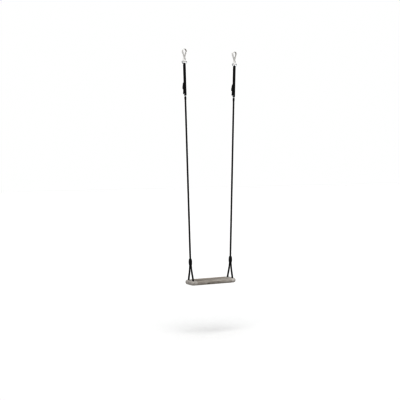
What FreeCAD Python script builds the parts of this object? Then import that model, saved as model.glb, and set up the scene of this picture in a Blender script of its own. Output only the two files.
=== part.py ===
# A plank swing seat on two adjustable ropes, hung from two overhead rungs.
# Millimetres. The origin is midway between the two rung axes that the hangers pass over.
# +X runs along the seat to the right, +Y goes from front to back, +Z is up.
# Each rope leans a little inwards, so everything below a link is modelled in the rope's own
# leaning frame: its origin is the wire at the link's tip, and -Z runs down the rope.
import FreeCAD, Part
import Sketcher
import math
import os

Vector = FreeCAD.Vector
SIDES = (("left", -1), ("right", 1))
doc = FreeCAD.newDocument("plank_swing")

# ---------------------------------------------------------------- driving dimensions
DIMENSIONS = [
    ("hang_half", 226.0, "middle of the swing to each hanger"),
    ("hole_half", 178.2, "middle of the board to each pair of rope holes"),
    ("rung_radius", 15.0, "radius of the rung that a hanger passes over"),
    ("strap_width", 22.0, "width of the hanger's webbing"),
    ("strap_thick", 2.4, "thickness of the hanger's webbing"),
    ("strap_crotch", 46.0, "rung axis down to where the two legs meet inside"),
    ("strap_join", 52.0, "rung axis down to where the legs lie face to face"),
    ("strap_turned", 71.0, "rung axis down to where the stem has made its quarter turn"),
    ("eye_radius", 2.6, "inside radius of the sewn eye"),
    ("bar_drop", 80.0, "rung axis down to the link's top bar"),
    ("wire_radius", 2.5, "radius of the link's wire"),
    ("link_half", 26.5, "half the link's width, to the sharp corner of its centreline"),
    ("link_height", 29.0, "link's top bar to the sharp tip of its centreline"),
    ("link_corner", 4.5, "bend radius of the link's top corners"),
    ("link_tip", 8.0, "bend radius of the link's tip"),
    ("nut_start", 13.6, "sharp tip to the lower end of the screw sleeve"),
    ("nut_length", 10.0, "length of the screw sleeve"),
    ("nut_radius", 4.6, "screw sleeve, centre to corner"),
    ("nut_bore", 2.56, "bore radius of the screw sleeve"),
    ("gate_start", 15.4, "sharp tip to the lower face of the link's opening"),
    ("gate_end", 18.4, "sharp tip to the upper face of the link's opening"),
    ("sling_radius", 5.0, "radius of the adjustable sling's rope"),
    ("bight_radius", 8.5, "radius of the sling's bends, on its centreline"),
    ("sling_split", 133.0, "link's tip down to where the sling's moving part begins"),
    ("sling_gap", 1.4, "gap above the slider, where the sling's direction changes"),
    ("slider_top", 139.0, "link's tip down to the slider's upper face"),
    ("slider_knee", 172.0, "link's tip down to where the slider is widest"),
    ("slider_base", 190.0, "link's tip down to the slider's lower face"),
    ("slider_width", 17.0, "slider's size along X"),
    ("slider_front_top", 2.0, "slider's front face at its top"),
    ("slider_back_top", 17.6, "slider's back face at its top"),
    ("slider_front_base", 2.5, "how far the slider's base passes the middle, to the front"),
    ("slider_back_base", 28.4, "slider's back face at its base"),
    ("slider_round", 3.6, "rounding of the slider's edges"),
    ("tail_in", 9.5, "tail's place at the slider's top"),
    ("tail_out", 21.0, "tail's place below the slider"),
    ("tail_end", 221.5, "link's tip down to the tail's cut end"),
    ("stub_place", 5.5, "place of the sling's fixed end in the slider"),
    ("stub_end", 174.0, "link's tip down to the fixed end's top"),
    ("tail_cap_radius", 6.0, "radius of the tail's end cap"),
    ("tail_cap_top", 214.0, "link's tip down to the end cap's upper rim"),
    ("tail_cap_base", 226.5, "link's tip down to the end cap's lower face"),
    ("eye_drop", 225.6, "link's tip down to the rope eye's top wire"),
    ("ring_radius", 8.75, "rope eye's ring, on its centreline"),
    ("shank_radius", 3.0, "radius of the rope eye's shank"),
    ("shank_end", 252.0, "link's tip down to the shank's end"),
    ("cap_top", 247.4, "link's tip down to the rope cap's upper face"),
    ("cap_base", 272.0, "link's tip down to the rope cap's lower face"),
    ("cap_floor", 252.5, "link's tip down to the rope's top, inside its cap"),
    ("cap_radius", 6.9, "radius of the rope cap"),
    ("cap_bevel", 1.8, "bevel of the rope cap's rims"),
    ("rope_radius", 5.5, "radius of the main rope and of the bridle"),
    ("ferrule_top", 1525.0, "link's tip down to the ferrule cover's top"),
    ("ferrule_base", 1576.0, "link's tip down to the ferrule cover's base"),
    ("rock_drop", 1532.5, "link's tip down to where the rope bends at the ferrule"),
    ("mouth_radius", 5.8, "radius of the seat that the rope's end turns in"),
    ("mouth_rim", 7.5, "radius of the cover's flared mouth"),
    ("strand_place", 5.9, "middle of the ferrule to each bridle strand"),
    ("strand_bore", 5.55, "bore radius round each bridle strand"),
    ("press_top", 1546.0, "link's tip down to the press sleeve's top"),
    ("press_base", 1570.0, "link's tip down to the press sleeve's base"),
    ("press_radius", 7.0, "outer radius of the press sleeve's rounded sides"),
    ("bridle_top", 1541.5, "link's tip down to the bridle's two ends"),
    ("neck_drop", 1588.0, "link's tip down to where the bridle's legs part"),
    ("leg_place", 41.5, "middle of the board to each rope hole, front and back"),
    ("board_drop", 1696.7, "link's tip down to the board's top, along the rope"),
    ("bridle_bed", 27.7, "board's top down to the bridle's middle, under the board"),
    ("board_top", 1800.9, "rung axis down to the board's top"),
    ("board_length", 409.0, "length of the board"),
    ("board_depth", 136.0, "depth of the board, front to back"),
    ("board_thick", 34.0, "thickness of the board"),
    ("board_corner", 34.0, "corner radius of the board, seen from above"),
    ("board_round", 15.0, "rounding of the board's edges"),
    ("hole_radius", 6.3, "radius of the rope holes and half the groove's width"),
    ("hole_mouth", 9.3, "radius of the holes' worn mouths"),
    ("mouth_depth", 4.0, "depth of the holes' worn mouths"),
]
sheet = doc.addObject("Spreadsheet::Sheet", "dims")
for row, (alias, value, meaning) in enumerate(DIMENSIONS, start=1):
    sheet.set(f"A{row}", meaning)
    sheet.set(f"B{row}", str(value))
    sheet.setAlias(f"B{row}", alias)
doc.recompute()


def dim(alias):
    return float(getattr(sheet, alias))


def amount(text):
    """The value of a sum of sheet cells and numbers, such as 'cap_radius - cap_bevel'."""
    total = 0.0
    sign = 1
    for word in text.split():
        if word in ("+", "-"):
            sign = 1 if word == "+" else -1
        else:
            total += sign * (float(word) if word[0].isdigit() else dim(word))
            sign = 1
    return total


def formula(text):
    """The same sum as an expression on the sheet."""
    return " ".join(w if w in "+-" or w[0].isdigit() else "dims." + w for w in text.split())


def bind(obj, **sizes):
    for prop, text in sizes.items():
        obj.setExpression(prop.replace("_at_", "."), formula(text))


# ---------------------------------------------------------------- frames
tip_drop = dim("bar_drop") + dim("link_height")
half_angle = math.atan(dim("link_half") / dim("link_height"))
tip_wire = -tip_drop + dim("link_tip") / math.sin(half_angle) - dim("link_tip")
lean = math.degrees(math.asin((dim("hang_half") - dim("hole_half")) / (dim("board_drop") + 17)))


def hanger_frame(sign):
    """The hanger's own frame, turned about Z on the left, so that each sleeve is on the outer leg."""
    turn = FreeCAD.Rotation(Vector(0, 0, 1), 0 if sign > 0 else 180)
    return FreeCAD.Placement(Vector(sign * dim("hang_half"), 0, 0), turn)


def rope_frame(sign):
    origin = Vector(sign * dim("hang_half"), 0, tip_wire)
    return FreeCAD.Placement(origin, FreeCAD.Rotation(Vector(0, 1, 0), sign * lean))


# ---------------------------------------------------------------- helpers
nodes = []
X_AXIS = Vector(1, 0, 0)
Y_AXIS = Vector(0, 1, 0)
Z_AXIS = Vector(0, 0, 1)


def keep(obj, label, placement):
    obj.Label = label
    obj.Placement = placement
    nodes.append(obj)
    return obj


def feature(name, shape):
    obj = doc.addObject("Part::Feature", name)
    obj.Shape = shape
    return obj


def rounded_path(points, radii):
    """Straight runs joined by tangent arcs of the given radii, one radius per inner point."""
    edges = []
    last = points[0]
    for before, corner, after, radius in zip(points, points[1:], points[2:], radii):
        way_in = (corner - before).normalize()
        way_out = (after - corner).normalize()
        half_turn = way_in.getAngle(way_out) / 2
        reach = radius * math.tan(half_turn)
        start = corner - way_in * reach
        end = corner + way_out * reach
        inward = (way_out - way_in).normalize()
        middle = corner + inward * (radius / math.cos(half_turn) - radius)
        if start.distanceToPoint(last) > 1e-4:
            edges.append(Part.LineSegment(last, start).toShape())
        edges.append(Part.Arc(start, middle, end).toShape())
        last = end
    edges.append(Part.LineSegment(last, points[-1]).toShape())
    return Part.Wire(edges)


def tube(points, radii, radius):
    """A round bar or rope along a rounded path; its volume is compared with section x length."""
    path = rounded_path(points, radii)
    start = points[0]
    section = Part.Wire([Part.Circle(start, points[1] - start, radius).toShape()])
    solid = path.makePipeShell([section], True, False)
    if solid.ShapeType != "Solid":
        solid = Part.Solid(solid)
    if solid.Volume < 0:
        solid.reverse()
    expected = math.pi * radius ** 2 * path.Length
    share = solid.Volume / expected
    print(f"tube of radius {radius}: length {path.Length:.1f}, radii {[round(r, 1) for r in radii]},"
          f" volume share {share:.4f}")
    return solid


def yz(pairs):
    return [Vector(0, y, z) for y, z in pairs]


def octagon_radius(before, corner, after):
    """The arc that meets the middle of an octagon's sides at this corner."""
    half_turn = (corner - before).getAngle(after - corner) / 2
    side = min(corner.distanceToPoint(before), corner.distanceToPoint(after))
    return side / 2 / math.tan(half_turn)


def bar(radius, start, end):
    return Part.makeCylinder(radius, start.distanceToPoint(end), start, end - start)


def sketch_on(body, name, plane_role):
    sketch = body.newObject("Sketcher::SketchObject", name)
    plane = next(f for f in body.Origin.OriginFeatures if f.Role == plane_role)
    sketch.AttachmentSupport = [(plane, "")]
    sketch.MapMode = "FlatFace"
    return sketch


def polygon(sketch, corners):
    """A closed outline whose every corner is bound to the sheet."""
    places = [Vector(amount(x), amount(y), 0) for x, y in corners]
    count = len(places)
    for i in range(count):
        sketch.addGeometry(Part.LineSegment(places[i], places[(i + 1) % count]), False)
    for i, (x, y) in enumerate(corners):
        sketch.addConstraint(Sketcher.Constraint("Coincident", i, 2, (i + 1) % count, 1))
        for kind, text in (("DistanceX", x), ("DistanceY", y)):
            index = sketch.addConstraint(Sketcher.Constraint(kind, -1, 1, i, 1, amount(text)))
            sketch.setExpression(f"Constraints[{index}]", formula(text))


def turned(name, corners):
    """A body turned about Z from a half outline of (radius, height)."""
    body = doc.addObject("PartDesign::Body", name)
    sketch = sketch_on(body, name + "_outline", "XZ_Plane")
    polygon(sketch, corners)
    turning = body.newObject("PartDesign::Revolution", name + "_turned")
    turning.Profile = sketch
    turning.ReferenceAxis = (sketch, ["V_Axis"])
    turning.Angle = 360
    return body


def edge_names(shape, wanted):
    return [f"Edge{i}" for i, edge in enumerate(shape.Edges, start=1) if wanted(edge)]


# ---------------------------------------------------------------- hanger strap
def tangent_point(point, radius):
    """Where a line from a point outside touches a circle about the origin, on the point's side."""
    distance = point.Length
    spread = math.acos(radius / distance)
    aim = math.atan2(point.z, point.x)
    angle = aim + spread if point.x >= 0 else aim - spread
    return Vector(radius * math.cos(angle), 0, radius * math.sin(angle))


def prism(corners, way):
    return Part.Face(Part.makePolygon(corners + corners[:1])).extrude(way)


def teardrop(radius, half_foot, foot_drop, width):
    """A disc with two tangent legs that meet at its foot, as thick as the webbing is wide."""
    foot = Vector(half_foot, 0, -foot_drop)
    touch = tangent_point(foot, radius)
    corners = [touch, foot, Vector(-foot.x, 0, foot.z), Vector(-touch.x, 0, touch.z)]
    back = Vector(0, -width / 2, 0)
    disc = Part.makeCylinder(radius, width, back, Y_AXIS)
    legs = prism([corner + back for corner in corners], Y_AXIS * width)
    return disc.fuse(legs)


def rectangle(half_x, half_y, z):
    corners = [Vector(half_x, half_y, z), Vector(-half_x, half_y, z),
               Vector(-half_x, -half_y, z), Vector(half_x, -half_y, z)]
    return Part.makePolygon(corners + corners[:1])


def make_strap(side, sign):
    width = dim("strap_width")
    thick = dim("strap_thick")
    band = teardrop(dim("rung_radius") + thick, thick, dim("strap_join"), width)
    hollow = teardrop(dim("rung_radius"), 0.05, dim("strap_crotch"), width + 2)
    upper = rectangle(thick, width / 2, -dim("strap_join") + 0.5)
    lower = rectangle(width / 2, thick, -dim("strap_turned"))
    stem = Part.makeLoft([upper, lower], True, True)
    eye_at = Vector(-width / 2, 0, -dim("bar_drop"))
    eye_outer = dim("eye_radius") + thick
    eye = Part.makeCylinder(eye_outer, width, eye_at, X_AXIS)
    shoulder = [Vector(-width / 2, -thick, -dim("strap_turned") + 0.5),
                Vector(-width / 2, thick, -dim("strap_turned") + 0.5),
                Vector(-width / 2, eye_outer * 0.96, -dim("bar_drop") + eye_outer * 0.28),
                Vector(-width / 2, -eye_outer * 0.96, -dim("bar_drop") + eye_outer * 0.28)]
    neck = prism(shoulder, X_AXIS * width)
    bore = Part.makeCylinder(dim("eye_radius"), width + 2, eye_at - X_AXIS, X_AXIS)
    shape = band.cut(hollow).fuse([stem, neck, eye]).removeSplitter().cut(bore)
    keep(feature("hanger_strap_" + side, shape), "hanger_strap_" + side, hanger_frame(sign))


# ---------------------------------------------------------------- link and its screw sleeve
leg_way = Vector(dim("link_half"), 0, dim("link_height")).normalize()


def make_link(side, sign):
    tip = Vector(0, 0, -tip_drop)
    right = Vector(dim("link_half"), 0, -dim("bar_drop"))
    left = Vector(-dim("link_half"), 0, -dim("bar_drop"))
    points = [tip + leg_way * dim("gate_end"), right, left, tip, tip + leg_way * dim("gate_start")]
    radii = [dim("link_corner"), dim("link_corner"), dim("link_tip")]
    shape = tube(points, radii, dim("wire_radius"))
    keep(feature("delta_link_" + side, shape), "delta_link_" + side, hanger_frame(sign))


def make_link_sleeve(side, sign):
    hexagon = doc.addObject("Part::Prism", "nut_blank_" + side)
    hexagon.Polygon = 6
    bind(hexagon, Circumradius="nut_radius", Height="nut_length")
    bore = doc.addObject("Part::Cylinder", "nut_bore_" + side)
    bind(bore, Radius="nut_bore", Height="nut_length + 2")
    bore.Placement.Base = Vector(0, 0, -1)
    sleeve = doc.addObject("Part::Cut", "link_sleeve_" + side)
    sleeve.Base = hexagon
    sleeve.Tool = bore
    foot = Vector(0, 0, -tip_drop) + leg_way * dim("nut_start")
    flat_inwards = FreeCAD.Rotation(Z_AXIS, 30)
    along_leg = FreeCAD.Placement(foot, FreeCAD.Rotation(Z_AXIS, leg_way).multiply(flat_inwards))
    keep(sleeve, "link_sleeve_" + side, hanger_frame(sign).multiply(along_leg))


# ---------------------------------------------------------------- adjustable sling
def sling_routes():
    """The sling's three stretches: over the link, through the rope eye, and the free tail."""
    bend = dim("bight_radius")
    step = bend * math.tan(math.radians(22.5))
    split = -dim("sling_split")
    foot = -dim("eye_drop")
    upper = yz([(-bend, split), (-bend, step), (-step, bend), (step, bend), (bend, step),
                (dim("tail_in"), -dim("slider_top") + dim("sling_gap"))])
    lower = yz([(-bend, split - 0.1), (-bend, foot - step), (-step, foot - bend),
                (step, foot - bend), (bend, foot - step),
                (dim("stub_place"), -dim("slider_base") - 4), (dim("stub_place"), -dim("stub_end"))])
    tail = yz([(dim("tail_in"), -dim("slider_top") - 0.1),
               (dim("tail_out"), -dim("slider_base") - 1), (dim("tail_out"), -dim("tail_end"))])
    return upper, lower, tail


upper_route, lower_route, tail_route = sling_routes()
upper_radii = [octagon_radius(*upper_route[i:i + 3]) for i in range(4)]
lower_radii = [octagon_radius(*lower_route[i:i + 3]) for i in range(4)] + [150.0]
tail_radii = [120.0]


def make_sling(side, sign):
    radius = dim("sling_radius")
    for name, route, radii in (("sling_upper_", upper_route, upper_radii),
                               ("sling_lower_", lower_route, lower_radii),
                               ("sling_tail_", tail_route, tail_radii)):
        obj = feature(name + side, tube(route, radii, radius))
        keep(obj, name + side, rope_frame(sign))


# ---------------------------------------------------------------- slider
def make_slider(side, sign):
    name = "slider_blank_" + side
    body = doc.addObject("PartDesign::Body", name)
    sketch = sketch_on(body, name + "_outline", "YZ_Plane")
    polygon(sketch, [
        ("slider_front_top", "- slider_top"),
        ("slider_back_top", "- slider_top"),
        ("slider_back_base", "- slider_knee"),
        ("slider_back_base", "- slider_base"),
        ("- slider_front_base", "- slider_base"),
        ("- slider_front_base", "- slider_knee"),
    ])
    pad = body.newObject("PartDesign::Pad", name + "_pad")
    pad.Profile = sketch
    pad.SideType = "Symmetric"
    bind(pad, Length="slider_width")
    doc.recompute()
    rounding = body.newObject("PartDesign::Fillet", name + "_rounding")
    rounding.Base = (pad, edge_names(pad.Shape, lambda edge: True))
    bind(rounding, Radius="slider_round")
    body.Tip = rounding
    radius = dim("sling_radius")
    over = [tail_route[0] + (tail_route[0] - tail_route[1]).normalize() * 6] + tail_route[1:]
    tail_way = tube(over, tail_radii, radius + 0.1)
    stub = yz([(dim("stub_place"), -dim("slider_base") - 2), (dim("stub_place"), -dim("stub_end"))])
    bores = feature("slider_bores_" + side, tail_way.fuse(bar(radius, stub[0], stub[1])))
    slider = doc.addObject("Part::Cut", "slider_" + side)
    slider.Base = body
    slider.Tool = bores
    keep(slider, "slider_" + side, rope_frame(sign))


def make_tail_cap(side, sign):
    cap = turned("tail_cap_" + side, [
        ("0", "- tail_end"),
        ("sling_radius", "- tail_end"),
        ("sling_radius", "- tail_cap_top"),
        ("tail_cap_radius", "- tail_cap_top"),
        ("tail_cap_radius", "- tail_cap_base + 2"),
        ("tail_cap_radius - 2", "- tail_cap_base"),
        ("0", "- tail_cap_base"),
    ])
    aside = FreeCAD.Placement(Vector(0, dim("tail_out"), 0), FreeCAD.Rotation())
    keep(cap, "tail_cap_" + side, rope_frame(sign).multiply(aside))


# ---------------------------------------------------------------- rope eye, rope cap and main rope
def make_rope_eye(side, sign):
    ring = doc.addObject("Part::Torus", "eye_ring_" + side)
    bind(ring, Radius1="ring_radius", Radius2="wire_radius")
    ring.Placement.Rotation = FreeCAD.Rotation(X_AXIS, 90)
    bind(ring, Placement_at_Base_at_z="- eye_drop - ring_radius")
    shank = doc.addObject("Part::Cylinder", "eye_shank_" + side)
    bind(shank, Radius="shank_radius", Height="shank_end - eye_drop - ring_radius - ring_radius",
         Placement_at_Base_at_z="- shank_end")
    eye = doc.addObject("Part::MultiFuse", "rope_eye_" + side)
    eye.Shapes = [ring, shank]
    keep(eye, "rope_eye_" + side, rope_frame(sign))


def make_rope_cap(side, sign):
    cap = turned("rope_cap_" + side, [
        ("shank_radius", "- cap_top"),
        ("cap_radius - cap_bevel", "- cap_top"),
        ("cap_radius", "- cap_top - cap_bevel"),
        ("cap_radius", "- cap_base + cap_bevel"),
        ("cap_radius - 1", "- cap_base"),
        ("rope_radius", "- cap_base"),
        ("rope_radius", "- cap_floor"),
        ("shank_radius", "- cap_floor"),
    ])
    keep(cap, "rope_cap_" + side, rope_frame(sign))


def make_main_rope(side, sign):
    straight = doc.addObject("Part::Cylinder", "rope_straight_" + side)
    bind(straight, Radius="rope_radius", Height="rock_drop - cap_floor",
         Placement_at_Base_at_z="- rock_drop")
    end = doc.addObject("Part::Sphere", "rope_end_" + side)
    bind(end, Radius="rope_radius", Placement_at_Base_at_z="- rock_drop")
    rope = doc.addObject("Part::MultiFuse", "main_rope_" + side)
    rope.Shapes = [straight, end]
    rope.Refine = True
    keep(rope, "main_rope_" + side, rope_frame(sign))


# ---------------------------------------------------------------- ferrule and bridle
COVER_SECTIONS = (
    # share of the cover's height, half size along X, half size along Y
    (0.0, 8.6, 9.4),
    (0.14, 10.3, 12.2),
    (0.45, 11.8, 14.9),
    (0.78, 11.2, 14.6),
    (1.0, 8.6, 12.6),
)


def ellipse_wire(half_x, half_y, z):
    if half_y >= half_x:
        curve = Part.Ellipse(Vector(0, half_y, z), Vector(half_x, 0, z), Vector(0, 0, z))
    else:
        curve = Part.Ellipse(Vector(half_x, 0, z), Vector(0, half_y, z), Vector(0, 0, z))
    return Part.Wire([curve.toShape()])


def press_blank(grow):
    """The oval of the press sleeve, from its top to its base, grown all round."""
    place = dim("strand_place")
    radius = dim("press_radius") + grow
    top = -dim("press_top") + grow
    base = -dim("press_base") - grow
    rounds = [bar(radius, Vector(0, y, base), Vector(0, y, top)) for y in (-place, place)]
    block = Part.makeBox(2 * radius, 2 * place, top - base, Vector(-radius, -place, base))
    return rounds[0].fuse([rounds[1], block])


def make_ferrule(side, sign):
    place = dim("strand_place")
    strands = [bar(dim("strand_bore"), Vector(0, y, -dim("ferrule_base") - 2),
                   Vector(0, y, -dim("bridle_top") + 0.1)) for y in (-place, place)]
    press = press_blank(0).cut(strands[0].fuse(strands[1]))
    keep(feature("press_sleeve_" + side, press), "press_sleeve_" + side, rope_frame(sign))
    top = -dim("ferrule_top")
    height = dim("ferrule_base") - dim("ferrule_top")
    wires = [ellipse_wire(x, y, top - share * height) for share, x, y in COVER_SECTIONS]
    cover = Part.makeLoft(wires, True, False)
    seat_at = Vector(0, 0, -dim("rock_drop"))
    seat = Part.makeSphere(dim("mouth_radius"), seat_at)
    flare = Part.makeCone(dim("mouth_radius"), dim("mouth_rim"), -seat_at.z + top + 0.01, seat_at)
    hollow = press_blank(0.05).fuse(strands + [seat, flare])
    cover = cover.cut(hollow)
    for name, start in (("ferrule_cover_outer_", 0.0), ("ferrule_cover_inner_", -40.0)):
        block = Part.makeBox(40, 80, 80, Vector(start, -40, -dim("ferrule_base") - 14))
        half = cover.common(block if sign > 0 else block.mirror(Vector(0, 0, 0), X_AXIS))
        keep(feature(name + side, half), name + side, rope_frame(sign))


def bridle_route():
    """Out of the ferrule, down the front hole, back under the board and up the rear hole."""
    bed = -dim("board_drop") - dim("bridle_bed")
    front = [(-dim("strand_place"), -dim("bridle_top")), (-dim("strand_place"), -dim("neck_drop")),
             (-dim("leg_place"), -dim("board_drop") - 2.5), (-dim("leg_place"), bed)]
    back = [(-y, z) for y, z in reversed(front)]
    return yz(front + back)


bridle_points = bridle_route()
bridle_radii = [60.0, 36.0, 11.0, 11.0, 36.0, 60.0]


def make_bridle(side, sign):
    shape = tube(bridle_points, bridle_radii, dim("rope_radius"))
    keep(feature("bridle_" + side, shape), "bridle_" + side, rope_frame(sign))


# ---------------------------------------------------------------- seat board
def board_cutter(side, sign):
    """Rope holes, the groove between them under the board, and the worn mouths."""
    radius = dim("hole_radius")
    way = tube(bridle_points, bridle_radii, radius)
    way.Placement = rope_frame(sign)
    x = sign * dim("hole_half")
    top = -dim("board_top")
    base = top - dim("board_thick")
    pieces = [way]
    for y in (-dim("leg_place"), dim("leg_place")):
        pieces.append(bar(radius, Vector(x, y, base - 1), Vector(x, y, top + 1)))
        pieces.append(Part.makeCone(dim("hole_mouth"), radius, dim("mouth_depth"),
                                    Vector(x, y, top + 0.01), -Z_AXIS))
    bed = tip_wire - (dim("board_drop") + dim("bridle_bed")) * math.cos(math.radians(lean))
    slot = Part.makeBox(2 * radius, 2 * dim("leg_place"), bed - base + 1,
                        Vector(x - radius, -dim("leg_place"), base - 1))
    return pieces[0].fuse(pieces[1:] + [slot])


def make_board():
    body = doc.addObject("PartDesign::Body", "board_blank")
    sketch = sketch_on(body, "board_outline", "XY_Plane")
    half = ("dims.board_length / 2", "dims.board_depth / 2")
    places = [Vector(x * dim("board_length") / 2, y * dim("board_depth") / 2, 0)
              for x, y in ((1, 1), (-1, 1), (-1, -1), (1, -1))]
    for i, place in enumerate(places):
        sketch.addGeometry(Part.LineSegment(place, places[(i + 1) % 4]), False)
    for i, place in enumerate(places):
        sketch.addConstraint(Sketcher.Constraint("Coincident", i, 2, (i + 1) % 4, 1))
        for kind, size, value in (("DistanceX", half[0], place.x), ("DistanceY", half[1], place.y)):
            index = sketch.addConstraint(Sketcher.Constraint(kind, -1, 1, i, 1, value))
            sketch.setExpression(f"Constraints[{index}]", size if value > 0 else "-" + size)
    pad = body.newObject("PartDesign::Pad", "board_pad")
    pad.Profile = sketch
    pad.Reversed = True
    bind(pad, Length="board_thick")
    doc.recompute()
    corners = body.newObject("PartDesign::Fillet", "board_corners")
    upright = edge_names(pad.Shape, lambda edge: abs(edge.tangentAt(edge.FirstParameter).z) > 0.9)
    corners.Base = (pad, upright)
    bind(corners, Radius="board_corner")
    doc.recompute()
    rounding = body.newObject("PartDesign::Fillet", "board_rounding")
    level = edge_names(corners.Shape, lambda edge: edge.BoundBox.ZLength < 0.1)
    rounding.Base = (corners, level)
    bind(rounding, Radius="board_round")
    body.Tip = rounding
    bind(body, Placement_at_Base_at_z="- board_top")
    cutters = [feature("board_cutter_" + side, board_cutter(side, sign)) for side, sign in SIDES]
    tool = doc.addObject("Part::MultiFuse", "board_cutters")
    tool.Shapes = cutters
    board = doc.addObject("Part::Cut", "seat_board")
    board.Base = body
    board.Tool = tool
    keep(board, "seat_board", FreeCAD.Placement())


# ---------------------------------------------------------------- assembly
for side, sign in SIDES:
    for make in (make_strap, make_link, make_link_sleeve, make_sling, make_slider, make_tail_cap,
                 make_rope_eye, make_rope_cap, make_main_rope, make_ferrule, make_bridle):
        make(side, sign)
make_board()
doc.recompute()

for obj in doc.Objects:
    if "Invalid" in obj.State or "Error" in obj.State:
        raise RuntimeError(f"{obj.Label} failed: {obj.State}")
for node in nodes:
    if node.Shape.isNull() or not node.Shape.isValid() or not node.Shape.Solids:
        raise RuntimeError(f"{node.Label} has no valid solid")

os.makedirs("parts", exist_ok=True)
for node in nodes:
    node.Shape.exportStep(f"parts/{node.Label}.step")
    box = node.Shape.BoundBox
    print(f"{node.Label}: {len(node.Shape.Solids)} solid, {node.Shape.Volume:.0f} mm3,"
          f" x {box.XMin:.1f}..{box.XMax:.1f} y {box.YMin:.1f}..{box.YMax:.1f}"
          f" z {box.ZMin:.1f}..{box.ZMax:.1f}")
print(f"lean {lean:.4f} degrees, link tip wire at z {tip_wire:.3f}")
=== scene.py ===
# %% [markdown]
# # A plank swing on two adjustable ropes
# A weathered wooden board hangs from two overhead rungs. Each side has a white webbing loop, a
# three-cornered steel link, an adjustable sling with its slider, a long black rope and a bridle
# that goes down through one end of the board and up again. The CAD model is loaded first and
# stays as it is: it says where everything goes, and every piece here is built round it.

# %% Load the frame
import math

import bmesh
import bpy
import numpy as np
from mathutils import Matrix, Vector, noise


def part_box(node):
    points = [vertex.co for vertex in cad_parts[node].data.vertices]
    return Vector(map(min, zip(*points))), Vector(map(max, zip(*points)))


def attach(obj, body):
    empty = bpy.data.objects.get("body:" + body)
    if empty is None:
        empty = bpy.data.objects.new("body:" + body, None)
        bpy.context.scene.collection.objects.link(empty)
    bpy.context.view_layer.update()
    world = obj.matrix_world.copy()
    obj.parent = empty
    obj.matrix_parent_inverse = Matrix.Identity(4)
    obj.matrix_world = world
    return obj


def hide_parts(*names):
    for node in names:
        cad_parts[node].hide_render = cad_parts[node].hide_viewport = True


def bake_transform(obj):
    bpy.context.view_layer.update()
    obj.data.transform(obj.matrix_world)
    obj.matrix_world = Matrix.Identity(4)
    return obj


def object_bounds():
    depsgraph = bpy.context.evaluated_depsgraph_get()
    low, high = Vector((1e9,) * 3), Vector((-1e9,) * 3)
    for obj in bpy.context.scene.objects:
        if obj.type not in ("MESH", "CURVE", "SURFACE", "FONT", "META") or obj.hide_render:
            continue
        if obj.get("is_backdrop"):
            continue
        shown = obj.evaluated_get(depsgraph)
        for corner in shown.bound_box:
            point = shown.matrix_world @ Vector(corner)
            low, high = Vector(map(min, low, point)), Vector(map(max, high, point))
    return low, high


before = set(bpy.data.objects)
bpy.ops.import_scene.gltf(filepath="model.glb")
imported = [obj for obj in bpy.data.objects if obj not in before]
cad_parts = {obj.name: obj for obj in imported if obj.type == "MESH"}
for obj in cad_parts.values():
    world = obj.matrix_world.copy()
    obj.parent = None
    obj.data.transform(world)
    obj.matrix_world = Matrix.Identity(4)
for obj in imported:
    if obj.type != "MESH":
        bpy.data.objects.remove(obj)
cad_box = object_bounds()
print("CAD box:", [round(value, 3) for corner in cad_box for value in corner])

# %% [markdown]
# ## One frame for each rope
# The two ropes lean a little towards each other, so a point on one of them is easiest to give in
# a frame that leans with it: X across the swing, Y front to back, and Z up the rope from the wire
# at the link's tip. A matrix then puts the point in its place. The other way, working out every
# point by hand, would hide the fact that the left and the right side are the same.

# %% Frames for the hangers and the ropes
MM = 0.001
SIDES = (("left", -1), ("right", 1))
HANG_HALF = 226 * MM
LINK_TIP = -105.141 * MM
LEAN = math.radians(1.5984)


def hanger_frame(sign):
    turn = Matrix.Rotation(0 if sign > 0 else math.pi, 4, "Z")
    return Matrix.Translation((sign * HANG_HALF, 0, 0)) @ turn


def rope_frame(sign):
    lean = Matrix.Rotation(sign * LEAN, 4, "Y")
    return Matrix.Translation((sign * HANG_HALF, 0, LINK_TIP)) @ lean


print("the right rope's frame starts at", [round(v, 4) for v in rope_frame(1).translation])

# %% [markdown]
# ## The camera
# A swing is tall and thin, so it is seen from a good distance with a long lens, which keeps the
# two ropes almost parallel. The camera stands low on the front left and looks a little down.

# %% Camera
CAMERA_PLACE = (-3.4034, -6.1432, -0.8418)
CAMERA_YAW = math.radians(28.3154)
CAMERA_PITCH = math.radians(-2.6614)
CAMERA_ROLL = math.radians(-0.2918)
CAMERA_LENS = 79.333

bpy.ops.object.camera_add()
camera = bpy.context.object
camera.name = "camera"
camera.data.lens = CAMERA_LENS
camera.data.sensor_width = 36
camera.matrix_world = (Matrix.Translation(CAMERA_PLACE)
                       @ Matrix.Rotation(-CAMERA_YAW, 4, "Z")
                       @ Matrix.Rotation(math.pi / 2 + CAMERA_PITCH, 4, "X")
                       @ Matrix.Rotation(CAMERA_ROLL, 4, "Z"))
bpy.context.scene.camera = camera
print("camera", CAMERA_LENS, "mm, at", CAMERA_PLACE)

# %% [markdown]
# ## Small tools for modelling
# Blender's operators act on everything that is selected, and a freshly loaded model is selected
# all over. So nothing is done before the selection is emptied. A piece is then made flat or
# straight, where it is easy to shape, and laid along a line afterwards: that is how a rope is
# coiled or a strap is sewn, and it keeps every pattern the same size all along the line.


# %% Start a piece, edit it, apply a modifier
def start(name, primitive, **sizes):
    """Adds a primitive with nothing else selected, and names it."""
    for other in bpy.context.selected_objects:
        other.select_set(False)
    primitive(**sizes)
    piece = bpy.context.object
    piece.name = piece.data.name = name
    return piece


def editing(piece):
    """Edit mode on one piece, with nothing in it selected."""
    for other in bpy.context.selected_objects:
        other.select_set(False)
    piece.select_set(True)
    bpy.context.view_layer.objects.active = piece
    bpy.ops.object.mode_set(mode="EDIT")
    bpy.ops.mesh.select_all(action="DESELECT")


def done():
    bpy.ops.object.mode_set(mode="OBJECT")


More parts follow.
